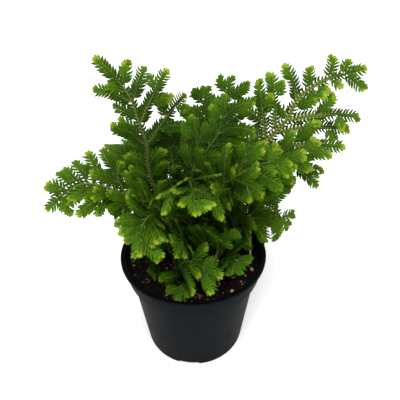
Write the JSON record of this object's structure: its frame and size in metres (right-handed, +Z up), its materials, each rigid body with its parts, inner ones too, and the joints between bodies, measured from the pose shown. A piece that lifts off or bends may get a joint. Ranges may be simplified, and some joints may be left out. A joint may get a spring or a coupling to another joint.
{
  "type": "potted spikemoss",
  "caption": "Potted spikemoss: flat, forked sprays of small overlapping leaves arch up and out from peat in a round black plastic pot.",
  "frame": {"origin": "centre of the underside of the pot's foot, on the surface that the pot stands on", "axes": "+Z up along the pot's axis; -Y is the front of the plant and +X its right-hand side seen from the front"},
  "size_m": [0.2264, 0.1852, 0.2464],
  "materials": {
    "foliage": "satin",
    "straw_root": "matte",
    "pot_plastic": "satin",
    "peat": "matte"
  },
  "bodies": {
    "root": {"spray_left_high": "foliage", "spray_left_low": "foliage", "spray_left_back": "foliage", "spray_left_mid": "foliage", "spray_front_left": "foliage", "spray_front_high": "foliage", "spray_centre_high": "foliage", "spray_right_front": "foliage", "spray_right_high": "foliage", "spray_right_back": "foliage", "spray_right_low": "foliage", "spray_centre_low": "foliage", "spray_centre_mid": "foliage", "spray_front_low": "foliage", "spray_front_foot": "foliage", "spray_left_foot": "foliage", "spray_right_foot": "foliage", "spray_crown_left": "foliage", "spray_crown_back": "foliage", "spray_crown_right": "foliage", "spray_rear_left": "foliage", "spray_rear": "foliage", "spray_rear_right": "foliage", "stilt_front": "straw_root", "stilt_right": "straw_root", "stilt_rear": "straw_root", "pot": "pot_plastic", "soil": "peat"}
  },
  "joints": []
}
